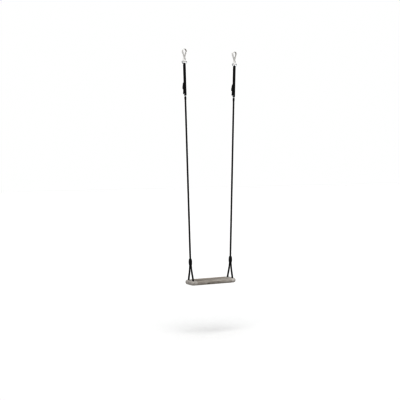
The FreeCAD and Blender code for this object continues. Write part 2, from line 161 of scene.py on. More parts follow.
def modify(piece, kind, **settings):
    """Adds a modifier, sets it and applies it."""
    modifier = piece.modifiers.new(kind.lower(), kind)
    for setting, value in settings.items():
        setattr(modifier, setting, value)
    bpy.context.view_layer.objects.active = piece
    bpy.ops.object.modifier_apply(modifier=modifier.name)


# %% Read and move a piece's points
def points_of(piece):
    places = np.zeros(len(piece.data.vertices) * 3)
    piece.data.vertices.foreach_get("co", places)
    return places.reshape(-1, 3)


def move_points(piece, places):
    piece.data.vertices.foreach_set("co", np.asarray(places, float).ravel())
    piece.data.update()


def lay_along(piece, line, across):
    """Lays a piece that was made along +X onto a line. Its Y goes across, its Z outwards."""
    steps = np.linalg.norm(np.diff(line, axis=0), axis=1)
    reach = np.concatenate(([0.0], np.cumsum(steps)))
    tangent = np.gradient(line, reach, axis=0)
    places = points_of(piece)

    def along(values):
        return np.stack([np.interp(places[:, 0], reach, values[:, i]) for i in range(3)], 1)

    def unit(values):
        return values / np.linalg.norm(values, axis=1)[:, None]

    forward, sideways = unit(along(tangent)), unit(along(across))
    outwards = np.cross(forward, sideways)
    move_points(piece, along(line) + sideways * places[:, 1:2] + outwards * places[:, 2:3])


def close_up(piece, gap=0.02 * MM):
    """Merges what touches, fills the open ends and turns every face outwards."""
    editing(piece)
    bpy.ops.mesh.select_all(action="SELECT")
    bpy.ops.mesh.remove_doubles(threshold=gap)
    bpy.ops.mesh.select_all(action="DESELECT")
    bpy.ops.mesh.select_non_manifold(extend=False)
    bpy.ops.mesh.fill_holes(sides=0)
    bpy.ops.mesh.select_all(action="SELECT")
    bpy.ops.mesh.normals_make_consistent(inside=False)
    done()
    for face in piece.data.polygons:
        face.use_smooth = True


# %% [markdown]
# ## The ropes' routes
# A rope's line is a smooth curve with only a few control points, where a rigger would say that
# it turns: over the link, through the rope's eye, into the slider. A NURBS curve of order 3 is
# pulled towards its points and stays smooth between them. On the long straight ropes two more
# points sit in line near the ends, so that the pull of the hardware shows only there.


# %% Routes, in metres, as (front to back, up the rope)
SLING_UPPER = ((-0.0085, -0.133), (-0.0085, -0.00352), (-0.0085, 0.003521),
               (-0.003521, 0.0085), (0.003521, 0.0085), (0.0085, 0.003521),
               (0.00854, -0.00352), (0.0095, -0.1412))
SLING_LOWER = ((-0.0085, -0.1331), (-0.0085, -0.22208), (-0.0085, -0.229121),
               (-0.003521, -0.2341), (0.003521, -0.2341), (0.0085, -0.229121),
               (0.00793, -0.22208), (0.0055, -0.194), (0.0055, -0.174))
SLING_TAIL = ((0.0095, -0.1391), (0.021, -0.191), (0.021, -0.2215))
MAIN_ROPE = ((0, -0.2525), (0, -0.3185), (0, -1.4665), (0, -1.5325))
BRIDLE = ((-0.0059, -1.5415), (-0.0059, -1.588), (-0.0415, -1.6992), (-0.0415, -1.7244),
          (-0.0163, -1.7244), (0.0163, -1.7244), (0.0415, -1.7244), (0.0415, -1.6992),
          (0.0059, -1.588), (0.0059, -1.5415))


def smooth_line(name, controls, steps):
    """The points of a NURBS line that its control points pull, read from a curve with no bevel."""
    data = bpy.data.curves.new(name, "CURVE")
    data.dimensions = "3D"
    spline = data.splines.new("NURBS")
    spline.points.add(len(controls) - 1)
    for point, control in zip(spline.points, controls):
        point.co = (*control, 1)
    spline.order_u = 3
    spline.use_endpoint_u = True
    spline.resolution_u = steps
    holder = bpy.data.objects.new(name, data)
    mesh = bpy.data.meshes.new_from_object(holder)
    line = np.array([vertex.co for vertex in mesh.vertices])
    bpy.data.objects.remove(holder)
    bpy.data.meshes.remove(mesh)
    return line


def route_line(name, route, sign):
    to_place = rope_frame(sign)
    return smooth_line(name, [to_place @ Vector((0, y, z)) for y, z in route], 24)


def length_of(line):
    return float(np.linalg.norm(np.diff(line, axis=0), axis=1).sum())


for label, route in (("sling over the link", SLING_UPPER), ("main rope", MAIN_ROPE),
                     ("bridle", BRIDLE)):
    print(label, round(length_of(route_line(label, route, 1)), 4), "m")

# %% [markdown]
# ## Braided rope
# A play rope has a braided sheath: eight strands go round one way and eight the other, each over
# one and under the next. Modelling every strand would take millions of faces, so a flat grid is
# rolled into a tube, and its skin is raised where a strand lies on top. The same numbers go to
# the rope's UV map, turns one way and repeats the other, so the yarn in the finish follows the
# strands that the mesh has.

# %% The braid's height
STRANDS = 8
SIDES_PER_STRAND = 5
STEPS_PER_REPEAT = 5
BRAID_DEPTH = 0.5 * MM
VALLEY_SHARE = 0.4
YARNS = 4


def braid_height(turns, repeats):
    """0 in the braid's valleys and 1 along the middle of the strand that lies on top."""
    first, second = turns * STRANDS + repeats, turns * STRANDS - repeats
    first_on_top = (np.floor(first) + np.floor(second)) % 2 == 0
    across = np.where(first_on_top, first % 1, second % 1)
    along = np.where(first_on_top, second % 1, first % 1)
    return (1 - (2 * across - 1) ** 2) * (0.7 + 0.3 * np.sin(math.pi * along))


# %% Roll and lay a rope
def braided_rope(name, route, sign, radius, repeat):
    line = route_line(name, route, sign)
    length = length_of(line)
    repeats = max(2, round(length / repeat))
    rows, columns = repeats * STEPS_PER_REPEAT, STRANDS * SIDES_PER_STRAND
    rope = start(name, bpy.ops.mesh.primitive_grid_add, x_subdivisions=rows,
                 y_subdivisions=columns, size=1, calc_uvs=True)
    flat = points_of(rope) + 0.5
    share, turns = flat[:, 0], flat[:, 1]
    skin = radius - BRAID_DEPTH * (VALLEY_SHARE - braid_height(turns % 1, share * repeats))
    angle = turns * 2 * math.pi
    move_points(rope, np.stack([share * length, skin * np.cos(angle), skin * np.sin(angle)], 1))
    braid = rope.data.uv_layers[0]
    braid.name = "braid"
    for corner in braid.data:
        corner.uv.x *= repeats
    across = np.tile(np.array(rope_frame(sign).to_3x3() @ Vector((1, 0, 0))), (len(line), 1))
    lay_along(rope, line, across)
    close_up(rope)
    print(name, round(length, 4), "m,", len(rope.data.polygons), "faces")
    return rope, line


# %% [markdown]
# ## Lay the ropes
# Each side has five lengths of rope. The sling is one rope in real life, but the slider takes it
# up at its front and lets it out at its tail, so its moving stretches are pieces of their own.
# The table below gives each piece's length and thickness, and where the sling over the link and
# the sling's free tail turn between their bodies and where the main rope turns as it enters the
# ferrule; these three pieces are left where they are laid. The stretch through the rope's eye
# rides on the slider, and the bridle rides on the seat.

# %% Ropes on both sides
SLING_RADIUS = 5 * MM
ROPE_RADIUS = 5.5 * MM
SLING_REPEAT = 4.6 * MM
ROPE_REPEAT = 5 * MM

ropes = {}
for side, sign in SIDES:
    for kind, route, radius, repeat in (
            ("sling_over_link_", SLING_UPPER, SLING_RADIUS, SLING_REPEAT),
            ("sling_through_eye_", SLING_LOWER, SLING_RADIUS, SLING_REPEAT),
            ("sling_free_tail_", SLING_TAIL, SLING_RADIUS, SLING_REPEAT),
            ("hanging_rope_", MAIN_ROPE, ROPE_RADIUS, ROPE_REPEAT),
            ("bridle_rope_", BRIDLE, ROPE_RADIUS, ROPE_REPEAT)):
        ropes[kind + side] = braided_rope(kind + side, route, sign, radius, repeat)

# %% Say what each rope replaces, what it rides on and how long it is
ROPE_FACTS = (
    # piece, CAD node, bodies, where it starts and ends its turn, exit, length, diameter
    ("sling_over_link_", "sling_upper_", ("links", "sliders"), ((0, -0.012), (0, -0.125)),
     SLING_UPPER[-1], 0.2986, 0.01),
    ("sling_through_eye_", "sling_lower_", ("sliders",), None, SLING_LOWER[-1], 0.171, 0.01),
    ("sling_free_tail_", "sling_tail_", ("sliders", "tails"), ((0.021, -0.18), (0.021, -0.21)),
     SLING_TAIL[0], 0.0836, 0.01),
    ("hanging_rope_", "main_rope_", ("ropes", "seat"), ((0, -1.497), (0, -1.528)),
     MAIN_ROPE[0], 1.28, 0.011),
    ("bridle_rope_", "bridle_", ("seat",), None, BRIDLE[0], 0.45, 0.011))

for side, sign in SIDES:
    for piece, node, bodies, turn, exit_at, length, diameter in ROPE_FACTS:
        rope, line = ropes[piece + side]
        if turn:
            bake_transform(rope)
        else:
            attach(rope, *bodies)
        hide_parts(node + side)

# %% [markdown]
# ## Small tools for finishes
# A finish is a tree of nodes: noise and waves give a pattern, a ramp turns it into colours, and a
# bump node lets it catch the light. Numbers that are the same all over a surface are set on the
# shader's own sockets, so that they survive an export. Short helpers keep each tree readable.


# %% Nodes, sums, ramps and mixes
def finish(name, **constants):
    """A new material, with its constants set on the shader's own sockets."""
    material = bpy.data.materials.new(name)
    material.use_nodes = True
    tree = material.node_tree
    shader = tree.nodes["Principled BSDF"]
    for socket, value in constants.items():
        shader.inputs[socket.replace("_", " ")].default_value = value
    return material, tree, shader


def feed(tree, socket, value):
    if isinstance(value, bpy.types.NodeSocket):
        tree.links.new(value, socket)
    else:
        socket.default_value = value


def add(tree, kind, settings=(), **feeds):
    """A node of this kind, its sockets fed by numbers or by other nodes' sockets."""
    node = tree.nodes.new("ShaderNode" + kind)
    for name, value in dict(settings).items():
        setattr(node, name, value)
    for name, value in feeds.items():
        feed(tree, node.inputs[name.replace("_", " ")], value)
    return node


def maths(tree, operation, *values):
    """A Math node, such as a sum or a sine, fed by numbers or by other nodes' sockets."""
    node = tree.nodes.new("ShaderNodeMath")
    node.operation = operation
    for socket, value in zip(node.inputs, values):
        feed(tree, socket, value)
    return node.outputs[0]


def ramp(tree, share, *stops):
    """Colours by share: each stop is a place from 0 to 1 and a colour or a grey."""
    node = add(tree, "ValToRGB", Fac=share)
    while len(node.color_ramp.elements) < len(stops):
        node.color_ramp.elements.new(0.5)
    for element, (place, colour) in zip(node.color_ramp.elements, stops):
        element.position = place
        element.color = (*((colour,) * 3 if isinstance(colour, float) else colour), 1)
    return node.outputs[0]


def mixed(tree, share, first, second, way="MIX"):
    node = tree.nodes.new("ShaderNodeMix")
    node.data_type = "RGBA"
    node.blend_type = way
    for index, value in ((0, share), (6, first), (7, second)):
        if isinstance(value, tuple) and len(value) == 3:
            value = (*value, 1)
        feed(tree, node.inputs[index], value)
    return node.outputs[2]


def stretched(tree, places, x, y, z):
    """The same places, closer together or further apart on each axis."""
    return add(tree, "Mapping", Vector=places, Scale=(x, y, z)).outputs[0]


def noise_of(tree, vector, scale=1.0, detail=4.0, roughness=0.55):
    return add(tree, "TexNoise", Vector=vector, Scale=scale, Detail=detail,
               Roughness=roughness).outputs[0]


def bump(tree, shader, height, distance, strength=1.0):
    node = add(tree, "Bump", Height=height, Distance=distance, Strength=strength)
    tree.links.new(node.outputs[0], shader.inputs["Normal"])


def dress(piece, material):
    piece.data.materials.clear()
    piece.data.materials.append(material)


# %% [markdown]
# ## The rope's finish
# Black braided polyester is never quite black: each strand is a bundle of fine yarns that shine a
# little along their length, and outdoor rope turns dusty where it rubs. The finish reads the
# braid's own map, works out which strand is on top with the same sum as the mesh, and draws the
# yarns along that strand. Its colour also holds painted shade, darker in the valleys between
# strands, and a painted highlight, lighter along the top of each strand.

# %% Braided black rope
EVEN_SHIFT = 4000.0  # keeps the count of crossings above 0, and doesn't change odd to even


def rope_finish():
    material, tree, shader = finish("braided_black_rope", Roughness=0.6, Specular_IOR_Level=0.2,
                                    Sheen_Weight=0.05, Sheen_Roughness=0.5)
    braid = add(tree, "UVMap", {"uv_map": "braid"}).outputs[0]
    parts = add(tree, "SeparateXYZ", Vector=braid)
    turns = maths(tree, "MULTIPLY", parts.outputs[1], float(STRANDS))
    first = maths(tree, "ADD", turns, parts.outputs[0])
    second = maths(tree, "SUBTRACT", turns, parts.outputs[0])
    crossing = maths(tree, "ADD", maths(tree, "FLOOR", first), maths(tree, "FLOOR", second))
    second_on_top = maths(tree, "MODULO", maths(tree, "ADD", crossing, EVEN_SHIFT), 2.0)
    first_share, second_share = maths(tree, "FRACT", first), maths(tree, "FRACT", second)
    spread = maths(tree, "SUBTRACT", second_share, first_share)
    across = maths(tree, "MULTIPLY_ADD", second_on_top, spread, first_share)
    along = maths(tree, "SUBTRACT", maths(tree, "ADD", first_share, second_share), across)
    yarn = maths(tree, "SINE", maths(tree, "MULTIPLY", across, YARNS * 2 * math.pi))
    dome = maths(tree, "SINE", maths(tree, "MULTIPLY", across, math.pi))
    arch = maths(tree, "SINE", maths(tree, "MULTIPLY", along, math.pi))
    body = maths(tree, "MULTIPLY", dome, maths(tree, "MULTIPLY_ADD", arch, 0.4, 0.6))
    places = add(tree, "TexCoord").outputs["Object"]
    dust = noise_of(tree, places, scale=38.0, detail=5.0)
    fuzz = noise_of(tree, places, scale=1900.0, detail=2.0)
    height = maths(tree, "MULTIPLY_ADD", yarn, 0.16, body)
    # The strand's colour follows its height: painted shade, darker in the valleys between strands
    # and between yarns, and a painted highlight, lighter along the top of each strand. The fuzz
    # adds real tone at random.
    lit = maths(tree, "MULTIPLY_ADD", fuzz, 0.35, maths(tree, "MULTIPLY", height, 0.7))
    strand = ramp(tree, lit, (0.05, (0.0055, 0.0055, 0.0060)), (0.55, (0.0230, 0.0230, 0.0240)),
                  (1.0, (0.047, 0.0465, 0.0465)))
    dusty = ramp(tree, dust, (0.50, 0.0), (0.80, 0.25))
    colour = mixed(tree, dusty, strand, (0.062, 0.059, 0.055))
    tree.links.new(colour, shader.inputs["Base Color"])
    bump(tree, shader, maths(tree, "MULTIPLY_ADD", fuzz, 0.25, height), 0.35 * MM, 0.8)
    return material


rope_black = rope_finish()
for rope, line in ropes.values():
    dress(rope, rope_black)
print("braided rope on", len(ropes), "pieces")

# %% [markdown]
# ## The webbing loop
# The hanger is one flat band of polyester webbing, sewn into a ring. It goes over the rung with
# its width along the rung, and round the link's bar with its width along the bar, so its stem
# makes a quarter turn. The band is made as a flat grid, given its thickness, its woven ribs and
# its stitches while it is flat, and laid along the closed line at the end.

# %% The webbing's line and the way its width points
STRAP_WIDTH = 22 * MM
STRAP_THICK = 2.4 * MM
HALF_THICK = STRAP_THICK / 2
RUNG_REACH = 15 * MM + HALF_THICK
EYE_REACH = 2.6 * MM + HALF_THICK
BAR_DROP = 80 * MM
LEGS_MEET = 50 * MM
TURNED = 71 * MM
STEM_FOOT, STEM_TOP, STEM_STEP = -73, -48, 3


def tangent_angle(reach, point):
    """The angle at which a line from the point touches a circle about the origin."""
    x, z = point
    return math.atan2(z, x) + math.acos(reach / math.hypot(x, z))


def ring_corners(reach, start_angle, end_angle, count):
    """The corners of a polygon round part of a circle, and one more on the line into each end."""
    half_step = (end_angle - start_angle) / count / 2
    corner_reach = reach / math.cos(half_step)
    angles = [start_angle + (2 * i + 1) * half_step for i in range(count)]
    corners = [(corner_reach * math.cos(a), corner_reach * math.sin(a)) for a in angles]

    def mirrored(corner, angle):
        touch = (reach * math.cos(angle), reach * math.sin(angle))
        return tuple(2 * t - c for t, c in zip(touch, corner))

    return ([mirrored(corners[0], start_angle)] + corners + [mirrored(corners[-1], end_angle)])


def turn_at(z):
    """The stem's quarter turn: 0 with the width along the bar, a right angle along the rung."""
    share = min(1.0, max(0.0, (z + TURNED) / (TURNED - LEGS_MEET)))
    return share * share * (3 - 2 * share) * math.pi / 2


def stem(layer, heights):
    """One layer of the stem, half a thickness off its middle on the side that the turn gives."""
    off = layer * HALF_THICK
    return [(off * math.sin(turn_at(z)), off * math.cos(turn_at(z)), z) for z in heights]


up_the_stem = [z * MM for z in range(STEM_FOOT, STEM_TOP, STEM_STEP)]
touch = tangent_angle(RUNG_REACH, (HALF_THICK, -LEGS_MEET))
over_rung = [(x, 0, z) for x, z in ring_corners(RUNG_REACH, touch, math.pi - touch, 6)]
foot = (HALF_THICK, BAR_DROP + STEM_FOOT * MM)
low_touch = tangent_angle(EYE_REACH, foot) - 2 * math.acos(EYE_REACH / math.hypot(*foot))
under_bar = [(0, y, z - BAR_DROP)
             for y, z in ring_corners(EYE_REACH, low_touch, -math.pi - low_touch, 6)]
right_eye, left_eye = under_bar[:4][::-1], under_bar[4:][::-1]
webbing_route = ([(0, 0, -BAR_DROP - EYE_REACH)] + right_eye + stem(1, up_the_stem) + over_rung
                 + stem(-1, up_the_stem[::-1]) + left_eye + [(0, 0, -BAR_DROP - EYE_REACH)])
print("webbing route:", len(webbing_route), "points")


# %% A smooth line through the webbing's route
def webbing_line():
    """The band's closed line, and the way its width points at each place on it."""
    line = smooth_line("webbing_line", webbing_route, 16)
    across = np.array([(math.cos(turn_at(z)), -math.sin(turn_at(z)), 0) for z in line[:, 2]])
    return line, across


# %% Stitches that hold the stem together
STITCH = (1.25 * MM, 0.34 * MM, 0.32 * MM)
STITCH_ROWS = 6
STITCH_STEP = 3.1 * MM
STITCH_COLUMNS = (-8.2, -4.1, 0, 4.1, 8.2)
STEM_START = 13.5 * MM


def stitches(length):
    """Lines of stitches on the outside of both layers, where the flat band will be the stem."""
    first = start("stitching", bpy.ops.mesh.primitive_uv_sphere_add, segments=8, ring_count=6,
                  radius=1)
    move_points(first, points_of(first) * STITCH)
    copies = [first]
    rows = [STEM_START + i * STITCH_STEP for i in range(STITCH_ROWS)]
    for x in rows + [length - row for row in rows]:
        for y in STITCH_COLUMNS:
            copy = bpy.data.objects.new("stitch", first.data.copy())
            bpy.context.collection.objects.link(copy)
            move_points(copy, points_of(copy) + (x, y * MM, HALF_THICK - 0.05 * MM))
            copies.append(copy)
    bpy.data.objects.remove(first)
    return copies[1:]


def join(piece, others):
    """Joins other objects into a piece, each keeping its own materials."""
    for other in bpy.context.selected_objects:
        other.select_set(False)
    for other in others:
        other.select_set(True)
    piece.select_set(True)
    bpy.context.view_layer.objects.active = piece
    bpy.ops.object.join()


# %% Weave a flat band and lay it
WARP_ENDS = 16
WEFT_STEP = 2.2 * MM
WEAVE_DEPTH = 0.16 * MM
SELVEDGE = 1.4 * MM


def webbing(name, sign):
    line, across = webbing_line()
    length = length_of(line)
    repeats = round(length / WEFT_STEP)
    band = start(name, bpy.ops.mesh.primitive_grid_add, x_subdivisions=repeats * 4,
                 y_subdivisions=WARP_ENDS * 2, size=1, calc_uvs=True)
    flat = points_of(band)
    move_points(band, flat * (length, STRAP_WIDTH, 1) + (length / 2, 0, 0))
    weave = band.data.uv_layers[0]
    weave.name = "weave"
    for corner in weave.data:
        corner.uv = (corner.uv.x * repeats, corner.uv.y * WARP_ENDS)
    modify(band, "SOLIDIFY", thickness=STRAP_THICK, offset=0)
    places = points_of(band)
    x, y, z = places.T
    column = np.floor((y / STRAP_WIDTH + 0.5) * WARP_ENDS)
    rib = np.abs(np.sin(math.pi * (y / STRAP_WIDTH + 0.5) * WARP_ENDS))
    float_over = 0.5 + 0.5 * np.cos(2 * math.pi * (x / length * repeats + column / 2))
    raised = HALF_THICK - WEAVE_DEPTH + WEAVE_DEPTH * (0.4 * rib + 0.6 * rib * float_over)
    to_edge = np.clip((np.abs(y) - STRAP_WIDTH / 2 + SELVEDGE) / SELVEDGE, 0, 1)
    places[:, 2] = np.sign(z) * raised * np.sqrt(1 - 0.72 * to_edge ** 2)
    move_points(band, places)
    editing(band)
    shape = bmesh.from_edit_mesh(band.data)
    for face in shape.faces:
        face.select = abs(face.normal.x) > 0.9 and max(abs(v.co.z) for v in face.verts) > 0.5 * MM
    bmesh.update_edit_mesh(band.data)
    bpy.ops.mesh.delete(type="FACE")
    done()
    dress(band, webbing_white)
    sewn = stitches(length)
    for stitch in sewn:
        dress(stitch, thread_white)
    join(band, sewn)
    lay_along(band, line, across)
    close_up(band, 0.05 * MM)
    band.data.transform(hanger_frame(sign))
    print(name, "cut to", round(length, 4), "m,", len(band.data.polygons), "faces")
    return band


# %% White webbing
def webbing_finish():
    material, tree, shader = finish("woven_white_webbing", Roughness=0.78,
                                    Specular_IOR_Level=0.3, Sheen_Weight=0.2, Sheen_Roughness=0.4)
    weave = add(tree, "UVMap", {"uv_map": "weave"}).outputs[0]
    parts = add(tree, "SeparateXYZ", Vector=weave)
    column = maths(tree, "MODULO", maths(tree, "FLOOR", parts.outputs[1]), 2.0)
    over = maths(tree, "MULTIPLY_ADD", column, 0.5, parts.outputs[0])
    weft = maths(tree, "COSINE", maths(tree, "MULTIPLY", over, 2 * math.pi))
    warp = maths(tree, "ABSOLUTE", maths(
        tree, "SINE", maths(tree, "MULTIPLY", parts.outputs[1], math.pi)))
    threads = maths(tree, "SINE",
                    maths(tree, "MULTIPLY", parts.outputs[1], YARNS * 2 * math.pi))
    height = maths(tree, "MULTIPLY", warp, maths(tree, "MULTIPLY_ADD", weft, 0.35, 0.65))
    height = maths(tree, "MULTIPLY_ADD", threads, 0.08, height)
    places = add(tree, "TexCoord").outputs["Object"]
    grime = noise_of(tree, places, scale=70.0, detail=5.0)
    # The webbing's colour follows the weave's height: painted shade, darker between the warp ends
    # and where the weft dips under, and a painted highlight on the raised threads. The grime below
    # is real dirt.
    cloth_with_painted_weave_shade = ramp(tree, height, (0.0, (0.46, 0.45, 0.437)), (0.45, (0.67, 0.666, 0.657)),
                 (0.9, (0.77, 0.768, 0.76)))
    colour = mixed(tree, ramp(tree, grime, (0.5, 0.0), (0.8, 0.35)), cloth_with_painted_weave_shade, (0.54, 0.527, 0.505))
    tree.links.new(colour, shader.inputs["Base Color"])
    bump(tree, shader, height, 0.25 * MM, 0.8)
    return material


def thread_finish():
    material, tree, shader = finish("sewing_thread", Roughness=0.55, Specular_IOR_Level=0.35)
    places = add(tree, "TexCoord").outputs["Object"]
    twist = add(tree, "TexWave", {"bands_direction": "DIAGONAL"}, Vector=places, Scale=420.0,
                Distortion=1.5).outputs[1]
    # The thread is darker in the grooves of its twist and lighter on its ridges: painted shade and
    # painted highlight.
    shade = ramp(tree, twist, (0.2, (0.41, 0.405, 0.396)), (0.8, (0.63, 0.626, 0.617)))
    tree.links.new(shade, shader.inputs["Base Color"])
    bump(tree, shader, twist, 0.1 * MM, 0.6)
    return material


webbing_white = webbing_finish()
thread_white = thread_finish()
for side, sign in SIDES:
    band = webbing("hanger_webbing_" + side, sign)
    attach(band, "hangers")
    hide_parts("hanger_strap_" + side)

# %% [markdown]
# ## Steel, plastic and aluminium
# The link and the rope's eye are zinc-plated wire: bright, with a faint crystal pattern, soft
# scratches and duller patches where the plating has weathered. The slider, the caps and the
# ferrule's covers are moulded in black plastic with a fine spark-eroded texture that holds dust.


# %% Zinc-plated steel
def steel_finish():
    material, tree, shader = finish("zinc_plated_steel", Metallic=1.0)
    places = add(tree, "TexCoord").outputs["Object"]
    crystal = add(tree, "TexVoronoi", Vector=places, Scale=520.0).outputs["Color"]
    spangle = add(tree, "SeparateColor", Color=crystal).outputs[0]
    patches = noise_of(tree, places, scale=95.0, detail=5.0)
    scratch = noise_of(tree, stretched(tree, places, 900, 900, 160), scale=1.0, detail=3.0)
    bright = maths(tree, "MULTIPLY_ADD", spangle, 0.3, maths(tree, "MULTIPLY", patches, 0.9))
    colour = ramp(tree, bright, (0.25, (0.30, 0.31, 0.32)), (0.55, (0.44, 0.45, 0.46)),
                  (0.9, (0.58, 0.585, 0.59)))
    tree.links.new(colour, shader.inputs["Base Color"])
    dull = ramp(tree, patches, (0.35, 0.30), (0.7, 0.52))
    tree.links.new(dull, shader.inputs["Roughness"])
    bump(tree, shader, maths(tree, "MULTIPLY_ADD", scratch, 0.6, patches), 0.08 * MM, 0.5)
    return material


# %% Moulded black plastic
def plastic_finish():
    material, tree, shader = finish("moulded_black_plastic", Specular_IOR_Level=0.25)
    places = add(tree, "TexCoord").outputs["Object"]
    grain = noise_of(tree, places, scale=2600.0, detail=2.0)
    cloud = noise_of(tree, places, scale=60.0, detail=4.0)
    scuff = noise_of(tree, stretched(tree, places, 260, 260, 60), scale=1.0, detail=5.0)
    dust = maths(tree, "MULTIPLY", ramp(tree, cloud, (0.42, 0.0), (0.75, 1.0)),
                 ramp(tree, scuff, (0.5, 0.15), (0.72, 0.8)))
    colour = mixed(tree, dust, ramp(tree, grain, (0.3, (0.014, 0.014, 0.015)),
                                    (0.7, (0.024, 0.024, 0.025))), (0.052, 0.050, 0.047))
    tree.links.new(colour, shader.inputs["Base Color"])
    tree.links.new(ramp(tree, scuff, (0.4, 0.46), (0.75, 0.66)), shader.inputs["Roughness"])
    bump(tree, shader, maths(tree, "MULTIPLY_ADD", scuff, 0.5, grain), 0.07 * MM, 0.5)
    return material


# %% Pressed aluminium
def aluminium_finish():
    material, tree, shader = finish("pressed_aluminium", Metallic=1.0)
    places = add(tree, "TexCoord").outputs["Object"]
    drawn = noise_of(tree, stretched(tree, places, 1400, 1400, 90), scale=1.0, detail=4.0)
    tree.links.new(ramp(tree, drawn, (0.3, (0.55, 0.56, 0.57)), (0.7, (0.78, 0.785, 0.79))),
                   shader.inputs["Base Color"])
    tree.links.new(ramp(tree, drawn, (0.3, 0.28), (0.7, 0.45)), shader.inputs["Roughness"])
    bump(tree, shader, drawn, 0.05 * MM, 0.5)
    return material


steel, plastic, aluminium = steel_finish(), plastic_finish(), aluminium_finish()

# %% [markdown]
# ## Hardware
# The wire link, the rope's eye and the hidden pressed sleeve keep their CAD shapes, which are
# round and true, and so do the two moulded caps. The screw sleeve, the slider and the ferrule's
# covers are copies of their CAD shapes with what a CAD sketch leaves out: their triangles are
# merged, the sleeve's and the covers' sharp edges are broken as a tool or a mould breaks them, and
# the slider gets the ribs that a thumb pushes against.


# %% A copy of a CAD shape, with its edges broken
SLIVER = 0.01 * MM


def reworked(node, name, edge):
    piece = bpy.data.objects.new(name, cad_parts[node].data.copy())
    bpy.context.collection.objects.link(piece)
    piece.data.name = name
    bpy.context.view_layer.objects.active = piece
    if piece.data.has_custom_normals:
        bpy.ops.mesh.customdata_custom_splitnormals_clear()
    editing(piece)
    bpy.ops.mesh.select_all(action="SELECT")
    bpy.ops.mesh.remove_doubles(threshold=0.002 * MM)
    bpy.ops.mesh.dissolve_limited(angle_limit=math.radians(0.6))
    done()
    if edge:
        modify(piece, "BEVEL", width=edge, segments=3, limit_method="ANGLE",
               angle_limit=math.radians(38))
        editing(piece)
        bpy.ops.mesh.select_all(action="SELECT")
        bpy.ops.mesh.remove_doubles(threshold=SLIVER)
        bpy.ops.mesh.dissolve_degenerate(threshold=SLIVER)
        done()
    bpy.ops.object.shade_smooth_by_angle(angle=math.radians(35))
    return piece


def place_piece(piece, node, body, material):
    dress(piece, material)
    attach(piece, body)
    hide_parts(node)


# %% Ribs on the slider
RIB_COUNT = 4
RIB_STEP = 3.4 * MM
RIB_SIZE = (12.5 * MM, 1.5 * MM, 1.3 * MM)
RIB_PLACE = (0, 28.4 * MM, -175.6 * MM)


def slider_ribs(side, sign):
    ribs = []
    for i in range(RIB_COUNT):
        rib = start(f"rib_{i}_{side}", bpy.ops.mesh.primitive_cube_add, size=1)
        move_points(rib, points_of(rib) * RIB_SIZE)
        modify(rib, "BEVEL", width=0.5 * MM, segments=3)
        move_points(rib, points_of(rib) + RIB_PLACE - (0, 0, i * RIB_STEP))
        rib.data.transform(rope_frame(sign))
        for face in rib.data.polygons:
            face.use_smooth = True
        ribs.append(rib)
    return ribs


# %% Place the hardware on both sides
for side, sign in SIDES:
    for node in ("delta_link_", "rope_eye_"):
        dress(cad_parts[node + side], steel)
    dress(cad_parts["press_sleeve_" + side], aluminium)
    for node in ("tail_cap_", "rope_cap_"):
        dress(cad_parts[node + side], plastic)
    nut = reworked("link_sleeve_" + side, "screw_sleeve_" + side, 0.7 * MM)
    place_piece(nut, "link_sleeve_" + side, "sleeve_" + side, steel)
    slider = reworked("slider_" + side, "rope_slider_" + side, 0)
    join(slider, slider_ribs(side, sign))
    place_piece(slider, "slider_" + side, "sliders", plastic)
    for half in ("outer", "inner"):
        node = f"ferrule_cover_{half}_{side}"
        cover = reworked(node, f"ferrule_shell_{half}_{side}", 0.45 * MM)
        place_piece(cover, node, "seat", plastic)
    print("hardware on the", side)

# %% [markdown]
# ## The board
# The seat is one plank of hardwood that has stood outdoors for years. Rain has washed the soft
# grain out between the hard rings, the edges are worn round, thin cracks run along it, and the
# two ends, where the ropes go through, are paler and smoother. A copy of the CAD board gets an
# even skin of small faces from a voxel remesh, and is then weathered point by point. The cracks,
# the worn edges and the mouths of the holes are written on the mesh: the finish pales the worn
# edges, and paints shade into the cracks and the holes' mouths.

# %% An even skin on a copy of the board
BOARD_VOXEL = 1.7 * MM
board_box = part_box("seat_board")
board_middle = (board_box[0] + board_box[1]) / 2
HOLE_X = 178.2 * MM
HOLE_Y = 41.5 * MM
GROOVE_HALF = 9 * MM

board = reworked("seat_board", "weathered_board", 0)
board.data.remesh_voxel_size = BOARD_VOXEL
bpy.ops.object.voxel_remesh()
modify(board, "SMOOTH", factor=0.5, iterations=2)
for face in board.data.polygons:
    face.use_smooth = True
print("board skin:", len(board.data.polygons), "faces")

# %% Weather the board
RELIEF_RINGS = 0.22 * MM
RELIEF_FIBRES = 0.16 * MM
RELIEF_CRACKS = 0.75 * MM
RELIEF_CHIPS = 0.6 * MM


def fade(value, low, high):
    """0 below low and 1 above high, with a smooth slope between them."""
    share = np.clip((value - low) / (high - low), 0, 1)
    return share * share * (3 - 2 * share)


def noise_at(places, x, y, z, offset=0.0):
    return np.array([noise.noise((p[0] * x + offset, p[1] * y, p[2] * z)) for p in places])


